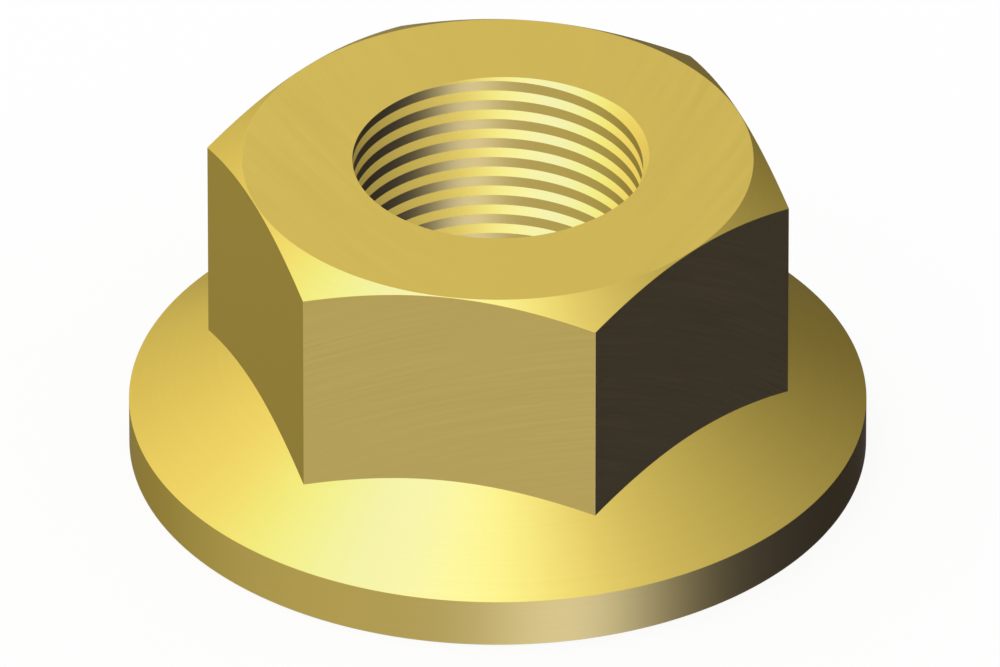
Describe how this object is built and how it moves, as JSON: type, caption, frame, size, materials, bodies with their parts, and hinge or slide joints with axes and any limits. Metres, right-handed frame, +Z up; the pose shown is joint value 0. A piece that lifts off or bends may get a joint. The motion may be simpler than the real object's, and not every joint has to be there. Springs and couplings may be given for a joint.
{
  "type": "hexagon flange nut",
  "caption": "Brass hexagon nut with a round bearing flange, sloped on top, a chamfered top face and a right-hand fine thread through its bore.",
  "frame": {"origin": "centre of the bearing face, on the axis of the bore", "axes": "+Z runs up the bore from the bearing face to the chamfered top face; +X points at one corner of the hexagon and +Y at the middle of a flat"},
  "size_m": [0.026, 0.026, 0.0118],
  "materials": {
    "brass": "satin"
  },
  "bodies": {
    "root": {"flange_nut": "brass"}
  },
  "joints": []
}
